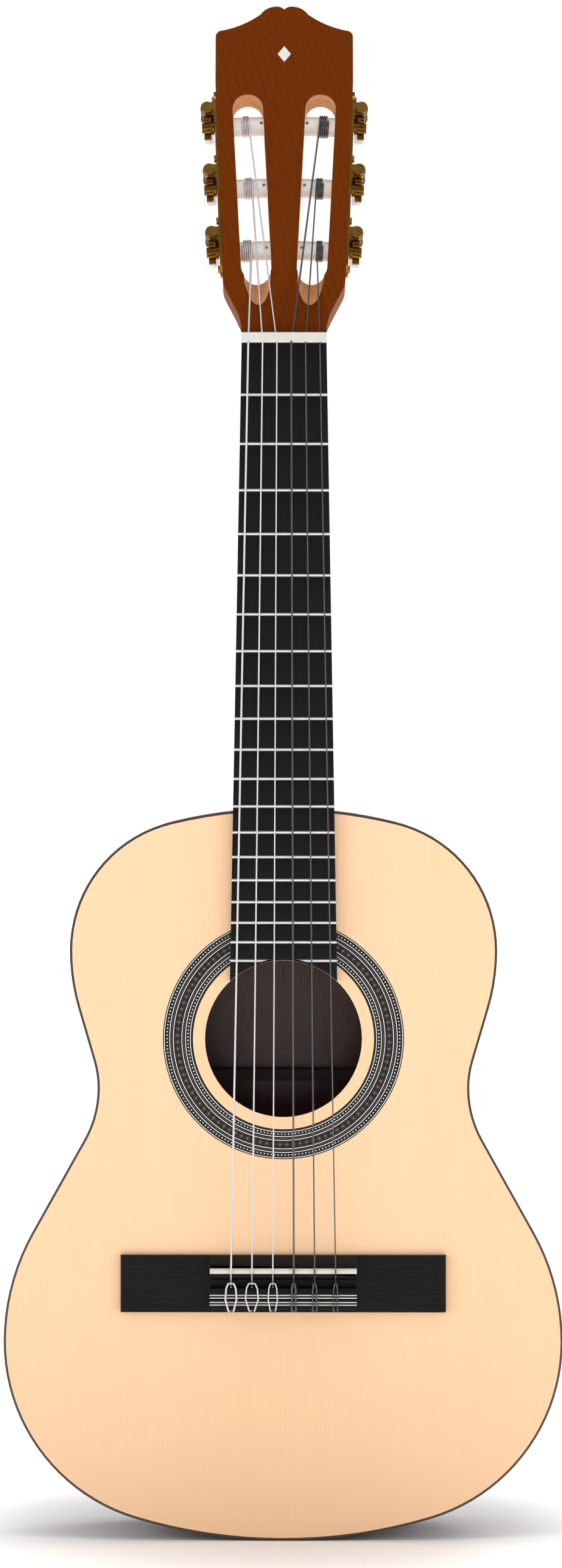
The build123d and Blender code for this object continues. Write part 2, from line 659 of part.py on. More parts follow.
def flare():
    """Round-backed cone at the head's lower end, which widens from the neck's own section."""
    tilt = cos(radians(HEAD_TILT))
    sections = []
    for u, half, depth in ((0, board_half(NUT_Z), NECK_DEPTH_NUT / tilt),
                           (FLARE_LENGTH, FLARE_HALF, FLARE_HALF)):
        curve = EllipticalCenterArc((0, 0), half, depth, arc_size=180)
        place = Plane((0, u, HEAD_DROP / tilt), x_dir=(1, 0, 0), z_dir=(0, 1, 0))
        sections.append(place * make_face([curve, Line(curve @ 1, curve @ 0)]))
    return on_head(loft(sections, ruled=True))


def headstock():
    """Slotted head, rounded into the neck behind, and its share of the scarf joint."""
    slab = on_head(Pos(0, 0, -HEAD_T) * extrude(head_face(), HEAD_T))
    slab -= on_head(block((-FAR, FAR), (-FAR, FLARE_LENGTH), (-FAR, FAR))) - flare()
    body = slab + (shaft() & scarf())
    cuts = head_cuts()
    for hole in roller_holes():
        cuts += both_sides(hole)
    return body - cuts


def diamond(low, high):
    """The head's small inlaid diamond between two heights."""
    half, tall = DIAMOND_W / 2, DIAMOND_H / 2
    face = make_face(Polyline((half, 0), (0, tall), (-half, 0), (0, -tall), close=True))
    return on_head(Pos(0, DIAMOND_U, low) * extrude(face, high - low))


def head_veneer():
    """Thin facing on the head."""
    plate = on_head(extrude(head_face(), VENEER_T))
    return plate - head_cuts() - diamond(VENEER_T - DIAMOND_T, VENEER_T + 1)


def head_inlay():
    """Diamond, level with the veneer."""
    return diamond(VENEER_T - DIAMOND_T, VENEER_T)


# ---------------------------------------------------------------- tuning machines


def roller():
    """Plastic barrel with its bore and a cross hole for the string."""
    barrel = pin_x(ROLLER_R, -ROLLER_LENGTH - ROLLER_GAP, -ROLLER_GAP)
    barrel -= pin_x(ROLLER_BORE_R, -SHAFT_LENGTH - ROLLER_GAP, 1)
    return barrel - Pos(-ROLLER_LENGTH * STRING_HOLE_SHARE, 0) * pin_z(STRING_HOLE_R, -FAR, FAR)


def tooth():
    """One gear tooth at the top of the gear, turned to lie along the worm's thread."""
    half = GEAR_T / 2
    face = Plane.YZ.location * make_face(Polyline(
        (GEAR_ROOT_R - TOOTH_LAP, -TOOTH_HALF_ROOT), (GEAR_TIP_R, -TOOTH_HALF_TIP),
        (GEAR_TIP_R, TOOTH_HALF_TIP), (GEAR_ROOT_R - TOOTH_LAP, TOOTH_HALF_ROOT), close=True))
    return Rot(0, -LEAD, 0) * Pos(-half, 0) * extrude(face, GEAR_T)


def gear():
    """Worm wheel with its hub, its shaft into the roller and, as its own solid, its screw."""
    low, high = WORM_OUT - GEAR_T / 2, WORM_OUT + GEAR_T / 2
    wheel = pin_x(GEAR_ROOT_R, low, high)
    wheel += pin_x(HUB_R, PLATE_T + ROLLER_GAP, low)
    wheel += pin_x(SHAFT_R, -SHAFT_LENGTH, low)
    one = Pos(WORM_OUT, 0) * tooth()
    wheel += [Rot(360 / TEETH * number, 0, 0) * one for number in range(TEETH)]
    screw = pin_x(GEAR_SCREW_R, high, high + SCREW_HEAD_H)
    slot = block((high + SCREW_HEAD_H / 2, FAR), (-FAR, FAR), (-SCREW_SLOT / 2, SCREW_SLOT / 2))
    return Compound(children=[wheel, screw - slot])


def thread():
    """Worm thread about Z, ready to mesh with a tooth at -Y."""
    height = THREAD_TURNS * WORM_PITCH
    inner = CORE_R - THREAD_LAP
    path = Pos(0, 0, -height / 2) * Helix(WORM_PITCH, height, inner)
    plane = Plane(path @ 0, x_dir=(1, 0, 0), z_dir=path % 0)
    reach = THREAD_R - inner
    face = make_face(Polyline(
        (0, -THREAD_HALF_ROOT), (reach, -THREAD_HALF_TIP),
        (reach, THREAD_HALF_TIP), (0, THREAD_HALF_ROOT), close=True))
    phase = 270 - 360 * ((THREAD_TURNS / 2 + 0.5) % 1)
    return Rot(0, 0, phase) * sweep(plane * face, path=path, is_frenet=True)


def worm():
    """Worm with its pins, front boss, rear collar and the stem that the button sits on."""
    lug_out = PLATE_HALF
    inner = lug_out - LUG_T - PIN_GAP
    body = pin_z(CORE_R, -inner, inner) + thread()
    body += pin_z(PIN_R, STEM_SHORT - BUTTON_TO, lug_out + PIN_GAP)
    body += pin_z(BOSS_R, lug_out + PIN_GAP, lug_out + PIN_GAP + BOSS_L)
    return body + pin_z(COLLAR_R, -lug_out - PIN_GAP - COLLAR_L, -lug_out - PIN_GAP)


def button():
    """Flat winged button behind the head, with a blind bore for the stem."""
    wing, cut = -BUTTON_FROM - BUTTON_WING, BUTTON_HALF - BUTTON_CORNER[0]
    half = [(BUTTON_NECK, -BUTTON_FROM), (BUTTON_HALF, wing),
            (BUTTON_HALF, BUTTON_CORNER[1] - BUTTON_TO), (cut, -BUTTON_TO)]
    other = [(-y, z) for y, z in reversed(half)]
    face = fillet(make_face(Polyline(half + other, close=True)).vertices(), BUTTON_ROUND)
    body = Pos(-BUTTON_T / 2, 0) * Plane.YZ.location * extrude(face, BUTTON_T)
    sides = body.edges().group_by(Axis.X)
    body = fillet(sides[0] + sides[-1], BUTTON_EDGE)
    return body - pin_z(PIN_R + GLUE, STEM_SHORT - BUTTON_TO - GLUE, 0)


def tuner_plate():
    """Side plate with two lugs for each worm, on the treble side's frame."""
    length = PLATE_DOWN + PLATE_UP
    face = Pos((PLATE_UP - PLATE_DOWN) / 2, 0) * SlotOverall(length, 2 * PLATE_HALF)
    plate = Plane.YZ.location * extrude(face, PLATE_T)
    for row in (-1, 0, 1):
        at = row * ROLLER_STEP
        plate += [lug(at + WORM_UP, side) for side in (-1, 1)]
        plate -= Pos(0, at) * pin_x(SHAFT_R + ROLLER_GAP, -1, PLATE_T + 1)
        plate -= Pos(WORM_OUT, at + WORM_UP) * pin_z(PIN_R + PIN_GAP, -FAR, FAR)
    return plate - [Pos(0, at) * pin_x(SCREW_R + GLUE, -1, PLATE_T + 1) for at in PLATE_SCREWS]


def lug(at, side):
    """Lug that carries one end of a worm; side is 1 at the head's face, -1 behind."""
    outer, inner = side * PLATE_HALF, side * (PLATE_HALF - LUG_T)
    body = block((0, LUG_OUT - LUG_HALF), (at - LUG_HALF, at + LUG_HALF), sorted((inner, outer)))
    return body + pin_z(LUG_HALF, *sorted((inner, outer)), at=(LUG_OUT - LUG_HALF, at))


def plate_screw():
    """Small round-headed wood screw, along X'."""
    head = pin_x(SCREW_HEAD_R, PLATE_T, PLATE_T + SCREW_HEAD_H)
    head = fillet(head.edges().group_by(Axis.X)[-1], SCREW_ROUND)
    return head + pin_x(SCREW_R, -SCREW_L, PLATE_T)


def plate_screws():
    """The screws of both plates."""
    frame = side_frame()
    treble = [frame * Pos(0, at) * plate_screw() for at in PLATE_SCREWS]
    return Compound(children=[one for screw in treble for one in both_sides(screw)])


def machines():
    """Every roller, gear, worm and button, numbered as the strings."""
    frame, up = side_frame(), Pos(WORM_OUT, WORM_UP)
    kinds = {"roller": roller(), "gear": gear(), "worm": up * worm(), "button": up * button()}
    nodes = {}
    for number in range(1, 7):
        place = frame * Pos(0, (roller_row(number) - 1) * ROLLER_STEP)
        for kind, shape in kinds.items():
            sides = both_sides(place * shape)
            nodes[f"{kind}_{number}"] = sides[0] if number <= 3 else sides[1]
    return nodes


def nodes():
    """Every sub-part by name."""
    walls, plates = ribs(), both_sides(side_frame() * tuner_plate())
    parts = {
        "soundboard": soundboard(),
        "rosette": rosette(),
        "rib_bass": half_of(walls, -1),
        "rib_treble": half_of(walls, 1),
        "back_plate": inside(-BINDING_W - GLUE) & back_slab(-BACK_T, 0),
        "top_binding": band(0, -BINDING_W, -BINDING_H, 0),
        "back_binding": band(0, -BINDING_W, -FAR / 2, 0) & back_slab(-BINDING_H, 0),
        "top_linings": top_linings(),
        "back_linings": back_linings(),
        "heel_block": end_block(BODY_TOP - HEEL_BLOCK_L, FAR),
        "tail_block": end_block(-FAR, TAIL_BLOCK_L),
        "harmonic_bars": harmonic_bars(),
        "fan_braces": fan_braces(),
        "back_braces": back_braces(),
        "neck": neck(),
        "heel_cap": heel_cap(),
        "headstock": headstock(),
        "head_veneer": head_veneer(),
        "head_inlay": head_inlay(),
        "fingerboard": fingerboard(),
        "frets": frets(),
        "nut": nut(),
        "bridge": bridge(),
        "saddle": saddle(),
        "tie_inlay": tie_inlay(),
        "tuner_plate_treble": plates[0],
        "tuner_plate_bass": plates[1],
        "plate_screws": plate_screws(),
    }
    parts.update({f"string_{number}": string(number) for number in range(1, 7)})
    parts.update(machines())
    return parts


os.makedirs("parts", exist_ok=True)
for name, shape in nodes().items():
    export_step(shape, f"parts/{name}.step")
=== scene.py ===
import json
from math import pi, radians

import bmesh
import bpy
from mathutils import Matrix, Vector


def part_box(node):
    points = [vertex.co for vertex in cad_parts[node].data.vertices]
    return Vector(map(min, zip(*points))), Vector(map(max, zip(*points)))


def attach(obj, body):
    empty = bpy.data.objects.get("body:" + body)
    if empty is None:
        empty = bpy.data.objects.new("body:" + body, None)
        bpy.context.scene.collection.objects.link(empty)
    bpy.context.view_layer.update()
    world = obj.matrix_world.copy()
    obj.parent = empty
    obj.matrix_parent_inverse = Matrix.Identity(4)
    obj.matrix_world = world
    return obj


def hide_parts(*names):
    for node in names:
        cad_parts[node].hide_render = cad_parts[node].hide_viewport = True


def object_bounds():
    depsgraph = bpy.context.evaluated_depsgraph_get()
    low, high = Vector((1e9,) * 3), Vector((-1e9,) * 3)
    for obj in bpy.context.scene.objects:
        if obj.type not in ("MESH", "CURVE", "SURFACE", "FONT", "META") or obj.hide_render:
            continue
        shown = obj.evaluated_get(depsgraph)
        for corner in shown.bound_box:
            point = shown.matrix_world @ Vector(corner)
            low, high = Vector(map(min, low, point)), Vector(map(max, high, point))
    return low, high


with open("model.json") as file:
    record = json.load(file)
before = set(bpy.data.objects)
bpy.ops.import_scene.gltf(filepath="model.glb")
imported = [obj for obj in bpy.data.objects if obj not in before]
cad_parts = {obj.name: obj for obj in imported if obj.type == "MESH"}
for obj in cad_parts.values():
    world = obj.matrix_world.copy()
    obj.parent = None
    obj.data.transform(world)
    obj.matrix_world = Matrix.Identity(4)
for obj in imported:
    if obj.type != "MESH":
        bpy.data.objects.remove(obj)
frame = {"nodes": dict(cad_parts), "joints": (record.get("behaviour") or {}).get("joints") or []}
cad_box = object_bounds()
scene = bpy.context.scene


# ---------------------------------------------------------------- camera
# A long lens well back from the soundboard, level with the middle of the guitar's height.
# It is rolled by a hair, because the guitar stands that much off upright.
long_side, seen_height, stand_back = 0.036, 0.8131, 2.4
face_behind_front, aside, eye_height, roll = 0.013, -0.0014, 0.3923, radians(-0.05)
lens = bpy.data.cameras.new("camera")
lens.sensor_width = long_side * 1000
lens.lens = lens.sensor_width * stand_back / seen_height
camera = bpy.data.objects.new("camera", lens)
camera.location = (aside, cad_box[0].y + face_behind_front - stand_back, eye_height)
camera.rotation_euler = (pi / 2, roll, 0)
scene.collection.objects.link(camera)
scene.camera = camera


# ---------------------------------------------------------------- studio
# The guitar stands on its tail on a pale floor in a white room. Soft lamps stand at both sides,
# above and behind, so that the lacquer mirrors nothing bright straight back. The floor glows by
# itself away from the guitar, which leaves a small shadow at its foot and hides the horizon.
def soft_light(name, place, width, height, watts):
    """Oblong lamp that faces the middle of the guitar."""
    lamp = bpy.data.lights.new(name, "AREA")
    lamp.shape = "RECTANGLE"
    lamp.size = width
    lamp.size_y = height
    lamp.energy = watts
    light = bpy.data.objects.new(name, lamp)
    light.location = place
    aim = Vector((0, 0, 0.4)) - Vector(place)
    light.rotation_euler = aim.to_track_quat("-Z", "Y").to_euler()
    scene.collection.objects.link(light)


soft_light("light_left", (-1.9, -1.0, 0.55), 0.7, 1.6, 16.5)
soft_light("light_right", (1.9, -1.0, 0.55), 0.7, 1.6, 13.8)
soft_light("light_top", (0.1, -0.8, 2.4), 1.2, 0.8, 9)
soft_light("light_behind", (1.0, 2.0, 1.4), 1.0, 1.0, 18)
scene.view_settings.view_transform = "Standard"

room = bpy.data.worlds.new("room")
room.use_nodes = True
walls = room.node_tree.nodes["Background"].inputs
walls["Color"].default_value = (1.0, 1.0, 1.0, 1.0)
seen = room.node_tree.nodes.new("ShaderNodeLightPath").outputs["Is Camera Ray"]
brighter = room.node_tree.nodes.new("ShaderNodeMapRange")
light_of_room, look_of_room = 0.36, 1.0
brighter.inputs["To Min"].default_value = light_of_room
brighter.inputs["To Max"].default_value = look_of_room
room.node_tree.links.new(seen, brighter.inputs["Value"])
room.node_tree.links.new(brighter.outputs["Result"], walls["Strength"])
scene.world = room

floor_reach, floor_drop = 12, 0.0002
glow_from, glow_full = 0.03, 0.32
floor_mesh = bpy.data.meshes.new("floor")
ground = bmesh.new()
bmesh.ops.create_circle(ground, cap_ends=True, segments=96, radius=floor_reach)
bmesh.ops.translate(ground, verts=ground.verts, vec=(0, 0, cad_box[0].z - floor_drop))
ground.to_mesh(floor_mesh)
ground.free()
floor = bpy.data.objects.new("floor", floor_mesh)
scene.collection.objects.link(floor)
floor_paint = bpy.data.materials.new("floor_paint")
floor_paint.use_nodes = True
floor_tree = floor_paint.node_tree
floor_shader = floor_tree.nodes["Principled BSDF"].inputs
floor_shader["Base Color"].default_value = (0.93, 0.93, 0.93, 1.0)
floor_shader["Roughness"].default_value = 0.9
floor_shader["Specular IOR Level"].default_value = 0.0
floor_shader["Emission Color"].default_value = (1.0, 1.0, 1.0, 1.0)
from_middle = floor_tree.nodes.new("ShaderNodeVectorMath")
from_middle.operation = "LENGTH"
floor_place = floor_tree.nodes.new("ShaderNodeTexCoord").outputs["Object"]
floor_tree.links.new(floor_place, from_middle.inputs[0])
fade = floor_tree.nodes.new("ShaderNodeMapRange")
fade.interpolation_type = "SMOOTHSTEP"
fade.inputs["From Min"].default_value = glow_from
fade.inputs["From Max"].default_value = glow_full
fade.inputs["To Min"].default_value = 0.0
fade.inputs["To Max"].default_value = 1.0
floor_tree.links.new(from_middle.outputs["Value"], fade.inputs["Value"])
floor_tree.links.new(fade.outputs["Result"], floor_shader["Emission Strength"])
floor.data.materials.append(floor_paint)


# ---------------------------------------------------------------- soundboard
# The top is two mirrored halves of quarter-sawn spruce, joined down the middle. The growth
# rings run straight up the guitar, and a thin satin lacquer lets the fibres show.
def shade(red, green, blue):
    """Colour of a paint chart, from 0 to 255, as a shader colour."""
    return (*((part / 255) ** 2.2 for part in (red, green, blue)), 1.0)


def calc(tree, operation, *values):
    """Math node fed with numbers or with other nodes' sockets."""
    node = tree.nodes.new("ShaderNodeMath")
    node.operation = operation
    for socket, value in zip(node.inputs, values):
        if isinstance(value, bpy.types.NodeSocket):
            tree.links.new(value, socket)
        else:
            socket.default_value = value
    return node.outputs[0]


def mixed(tree, share, first, second):
    """Colour between two others; share is how much of the second it has."""
    node = tree.nodes.new("ShaderNodeMix")
    node.data_type = "RGBA"
    for socket, value in ((node.inputs[0], share), (node.inputs[6], first), (node.inputs[7], second)):
        if isinstance(value, bpy.types.NodeSocket):
            tree.links.new(value, socket)
        else:
            socket.default_value = value
    return node.outputs[2]


def stretched(tree, place, scale):
    """Place scaled by its own amount along each axis."""
    node = tree.nodes.new("ShaderNodeVectorMath")
    node.operation = "MULTIPLY"
    tree.links.new(place, node.inputs[0])
    node.inputs[1].default_value = scale
    return node.outputs[0]


def grains(tree, place, scale, detail=2.0):
    """Noise over a stretched place, from 0 to 1."""
    node = tree.nodes.new("ShaderNodeTexNoise")
    node.inputs["Scale"].default_value = 1.0
    node.inputs["Detail"].default_value = detail
    tree.links.new(stretched(tree, place, scale), node.inputs["Vector"])
    return node.outputs["Fac"]


def effect(name, inputs, outputs):
    """Empty shader node group with named sockets; gives its tree, inputs and output node."""
    tree = bpy.data.node_groups.new(name, "ShaderNodeTree")
    for label, kind, value in inputs:
        socket = tree.interface.new_socket(label, in_out="INPUT", socket_type=kind)
        if value is not None:
            socket.default_value = value
    for label, kind in outputs:
        tree.interface.new_socket(label, in_out="OUTPUT", socket_type=kind)
    return tree, tree.nodes.new("NodeGroupInput").outputs, tree.nodes.new("NodeGroupOutput").inputs


def make_wood_figure():
    """Growth rings, fibres, slow patches and open pores of a board whose grain runs along Z."""
    number, colour, vector = "NodeSocketFloat", "NodeSocketColor", "NodeSocketVector"
    tree, given, out = effect(
        "wood_figure",
        [("Place", vector, None), ("Light", colour, None), ("Dark", colour, None),
         ("Ring Width", number, 0.002), ("Rings", number, 0.5), ("Wander", number, 1.0),
         ("Fibres", number, 0.3), ("Patches", number, 0.3), ("Pores", number, 0.0),
         ("Gloss", number, 0.4)],
        [("Color", colour), ("Height", number), ("Roughness", number)])
    place = given["Place"]
    apart = tree.nodes.new("ShaderNodeSeparateXYZ")
    tree.links.new(place, apart.inputs[0])
    drift = calc(tree, "MULTIPLY", grains(tree, place, (14, 14, 2.2)), given["Wander"])
    uneven = calc(tree, "MULTIPLY", grains(tree, place, (150, 150, 0.8)), 1.6)
    rings = calc(tree, "ADD", calc(tree, "DIVIDE", apart.outputs["X"], given["Ring Width"]),
                 calc(tree, "ADD", calc(tree, "MULTIPLY", drift, 6.0), uneven))
    rings = calc(tree, "ADD", rings, calc(tree, "DIVIDE", apart.outputs["Y"], given["Ring Width"]))
    late = calc(tree, "POWER", calc(tree, "FRACT", rings), 4.0)
    late = calc(tree, "MULTIPLY", late, calc(tree, "ADD", 0.55, grains(tree, place, (160, 160, 3))))
    fibre = calc(tree, "SUBTRACT", grains(tree, place, (1500, 1500, 35), 3.0), 0.5)
    patch = calc(tree, "SUBTRACT", grains(tree, place, (22, 22, 5)), 0.5)
    pore = calc(tree, "GREATER_THAN", grains(tree, place, (2600, 2600, 130), 1.0), 0.66)
    share = calc(tree, "MULTIPLY", late, given["Rings"])
    share = calc(tree, "ADD", share, calc(tree, "MULTIPLY", fibre, given["Fibres"]))
    share = calc(tree, "ADD", share, calc(tree, "MULTIPLY", patch, given["Patches"]))
    pore = calc(tree, "MULTIPLY", pore, given["Pores"])
    share = calc(tree, "ADD", share, pore)
    share = calc(tree, "MINIMUM", calc(tree, "MAXIMUM", share, 0.0), 1.0)
    tree.links.new(mixed(tree, share, given["Light"], given["Dark"]), out["Color"])
    height = calc(tree, "SUBTRACT", calc(tree, "MULTIPLY", fibre, 0.5), pore)
    height = calc(tree, "SUBTRACT", height, calc(tree, "MULTIPLY", late, 0.3))
    tree.links.new(height, out["Height"])
    rough = calc(tree, "ADD", given["Gloss"], calc(tree, "MULTIPLY", fibre, 0.2))
    tree.links.new(calc(tree, "ADD", rough, calc(tree, "MULTIPLY", pore, 0.2)), out["Roughness"])
    return tree


wood_figure = make_wood_figure()


def blank_finish(name):
    """New material; gives it, its node tree, its shader and its Object coordinates."""
    material = bpy.data.materials.new(name)
    material.use_nodes = True
    tree = material.node_tree
    coordinates = tree.nodes.new("ShaderNodeTexCoord")
    return material, tree, tree.nodes["Principled BSDF"].inputs, coordinates.outputs["Object"]


def relief(tree, shader, height, depth):
    """Feeds a height into the shader's normal; depth is in metres."""
    bump = tree.nodes.new("ShaderNodeBump")
    bump.inputs["Strength"].default_value = 1.0
    bump.inputs["Distance"].default_value = depth
    tree.links.new(height, bump.inputs["Height"])
    tree.links.new(bump.outputs["Normal"], shader["Normal"])


def wood(name, light, dark, turn=(0, 0, 0), mirrored=False, lacquer=0.3, sheen=0.5, depth=0.00004,
         **figure):
    """Wood finish; turn brings the grain to Z, and mirrored matches both halves at the middle."""
    material, tree, shader, place = blank_finish(name)
    mapping = tree.nodes.new("ShaderNodeMapping")
    mapping.inputs["Rotation"].default_value = [radians(angle) for angle in turn]
    tree.links.new(place, mapping.inputs["Vector"])
    place = mapping.outputs["Vector"]
    if mirrored:
        fold = tree.nodes.new("ShaderNodeVectorMath")
        fold.operation = "ABSOLUTE"
        tree.links.new(place, fold.inputs[0])
        place = fold.outputs[0]
    group = tree.nodes.new("ShaderNodeGroup")
    group.node_tree = wood_figure
    tree.links.new(place, group.inputs["Place"])
    group.inputs["Light"].default_value = light
    group.inputs["Dark"].default_value = dark
    for label, value in figure.items():
        group.inputs[label.replace("_", " ").title()].default_value = value
    tree.links.new(group.outputs["Color"], shader["Base Color"])
    tree.links.new(group.outputs["Roughness"], shader["Roughness"])
    shader["Specular IOR Level"].default_value = sheen
    shader["Coat Weight"].default_value = lacquer
    shader["Coat Roughness"].default_value = 0.18
    relief(tree, shader, group.outputs["Height"], depth)
    return material


def dress(material, *names):
    """Puts a finish on CAD nodes."""
    for name in names:
        for place in frame["nodes"][name].material_slots:
            place.material = material


spruce = wood("spruce_top", shade(249, 205, 163), shade(218, 164, 116), mirrored=True,
              ring_width=0.0013, rings=0.26, wander=0.1, fibres=0.3, patches=0.25, gloss=0.5,
              lacquer=0.1, sheen=0.3)
dress(spruce, "soundboard")


# ---------------------------------------------------------------- rosette
# The rosette is a ring of dyed veneers and end-grain mosaic, glued into a shallow recess round
# the soundhole and scraped level with the spruce before lacquering.
hole_height = (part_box("rosette")[0].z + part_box("rosette")[1].z) / 2
black, white, grey = shade(17, 16, 15), shade(238, 236, 230), shade(84, 81, 78)


def rosette_finish():
    """White lines and three mosaic bands, by distance and angle round the soundhole."""
    material, tree, shader, place = blank_finish("rosette_mosaic")
    apart = tree.nodes.new("ShaderNodeSeparateXYZ")
    tree.links.new(place, apart.inputs[0])
    across = calc(tree, "MULTIPLY", apart.outputs["X"], 1000)
    up = calc(tree, "MULTIPLY", calc(tree, "SUBTRACT", apart.outputs["Z"], hole_height), 1000)
    out = calc(tree, "SQRT", calc(tree, "ADD", calc(tree, "MULTIPLY", across, across),
                                  calc(tree, "MULTIPLY", up, up)))
    turn = calc(tree, "ADD", calc(tree, "DIVIDE", calc(tree, "ARCTAN2", across, up), 2 * pi), 0.5)

    def cell(middle, count):
        """Distances in millimetres from the middle of a mosaic piece, round and outwards."""
        step = 2 * pi * middle / count
        along = calc(tree, "SUBTRACT", calc(tree, "FRACT", calc(tree, "MULTIPLY", turn, count)), 0.5)
        along = calc(tree, "ABSOLUTE", calc(tree, "MULTIPLY", along, step))
        return along, calc(tree, "ABSOLUTE", calc(tree, "SUBTRACT", out, middle))

    def spot(middle, count, radius):
        """Round pieces of a chain."""
        along, outward = cell(middle, count)
        far = calc(tree, "SQRT", calc(tree, "ADD", calc(tree, "MULTIPLY", along, along),
                                      calc(tree, "MULTIPLY", outward, outward)))
        return calc(tree, "LESS_THAN", far, radius)

    def lozenge(middle, count, size, line):
        """Outlined lozenges of a chain."""
        along, outward = cell(middle, count)
        far = calc(tree, "ADD", along, outward)
        return calc(tree, "LESS_THAN", calc(tree, "ABSOLUTE", calc(tree, "SUBTRACT", far, size)), line)

    colour = black
    for radius, width, paint in ((48.3, 0.17, white), (50.8, 0.17, white), (51.8, 0.12, grey),
                                 (52.7, 0.17, white), (57.1, 0.17, white), (58.0, 0.12, grey),
                                 (59.0, 0.17, white), (61.8, 0.17, white)):
        off = calc(tree, "ABSOLUTE", calc(tree, "SUBTRACT", out, radius))
        colour = mixed(tree, calc(tree, "LESS_THAN", off, width), colour, paint)
    for middle, count, radius in ((49.5, 172, 0.34), (60.35, 210, 0.34)):
        colour = mixed(tree, spot(middle, count, radius), colour, white)
    colour = mixed(tree, lozenge(54.9, 100, 1.25, 0.16), colour, grey)
    colour = mixed(tree, lozenge(54.9, 100, 0.0, 0.42), colour, shade(170, 165, 158))
    tone = calc(tree, "MULTIPLY", grains(tree, place, (700, 700, 700)), 0.16)
    tree.links.new(mixed(tree, tone, colour, shade(70, 52, 38)), shader["Base Color"])
    rough = calc(tree, "ADD", 0.3, calc(tree, "MULTIPLY", grains(tree, place, (90, 90, 90)), 0.12))
    tree.links.new(rough, shader["Roughness"])
    shader["Specular IOR Level"].default_value = 0.3
    return material


dress(rosette_finish(), "rosette")


# ---------------------------------------------------------------- back and sides
# The back is a mirrored pair of mahogany boards and each side one bent mahogany rib. The
# pores are filled only in part, so that short dark dashes stay under the lacquer.
# Both colours are darker than the mahogany itself: painted shade for the inside of the body seen
# through the soundhole.
mahogany_painted_shade = wood("mahogany_back_painted_shade", shade(80, 50, 38), shade(44, 27, 20), mirrored=True,
                ring_width=0.009, rings=0.3, wander=0.5, fibres=0.8, patches=0.8, pores=0.45,
                gloss=0.4, lacquer=0.2, sheen=0.3)
dress(mahogany_painted_shade, "back_plate", "rib_bass", "rib_treble")


# ---------------------------------------------------------------- bindings
# A thin strip of dark wood is bent round each edge of the body, glued into its rebate and
# scraped level with the plate and the rib.
binding_wood = wood("binding_wood", shade(58, 34, 24), shade(28, 17, 12), ring_width=0.0011,
                    rings=0.5, fibres=0.6, pores=0.2, gloss=0.34, lacquer=0.5)
dress(binding_wood, "top_binding", "back_binding")


# ---------------------------------------------------------------- linings, blocks and bars
# Everything inside is plain unfinished wood: bent cedar linings in the corners, cedar end
# blocks for the neck and the tail, and mahogany bars under the top and on the back. The bars'
# colours are darker than bare mahogany: painted shade, as they sit deep in the body.
bare_wood = wood("bare_cedar", shade(226, 178, 128), shade(176, 122, 76), ring_width=0.0022,
                 rings=0.4, wander=0.5, fibres=0.7, patches=0.4, gloss=0.75, lacquer=0.0,
                 depth=0.00008)
# Painted shade: the bars' colours are darker than bare mahogany.
bar_wood_painted_shade = wood("bare_mahogany_painted_shade", shade(66, 50, 41), shade(42, 31, 25), turn=(0, 90, 0),
                ring_width=0.0016, rings=0.4, fibres=0.6, gloss=0.75, lacquer=0.0, depth=0.00008)
dress(bare_wood, "top_linings", "back_linings", "heel_block", "tail_block", "fan_braces")
dress(bar_wood_painted_shade, "harmonic_bars", "back_braces")


# ---------------------------------------------------------------- neck and heel
# The neck and the stacked heel are carved from mahogany, stained brown and glued to the body's
# end block. A thin cap of dark wood closes the heel.
neck_wood = wood("mahogany_neck", shade(132, 76, 40), shade(86, 44, 20), ring_width=0.007,
                 rings=0.28, wander=0.6, fibres=0.9, patches=0.7, pores=0.5, gloss=0.55,
                 lacquer=0.03, sheen=0.12)
dress(neck_wood, "neck")
dress(binding_wood, "heel_cap")


# ---------------------------------------------------------------- head
# A thin dark facing is glued to the head, and its slots and string ramps are cut through both.
# The cuts lay pale wood bare, while the head's edges and back are stained with the neck.
facing = wood("head_facing", shade(106, 49, 0), shade(74, 31, 0), ring_width=0.004, rings=0.3,
              wander=0.8, fibres=0.7, patches=0.6, pores=0.3, gloss=0.5, lacquer=0.0,
              sheen=0.05)
dress(facing, "head_veneer")


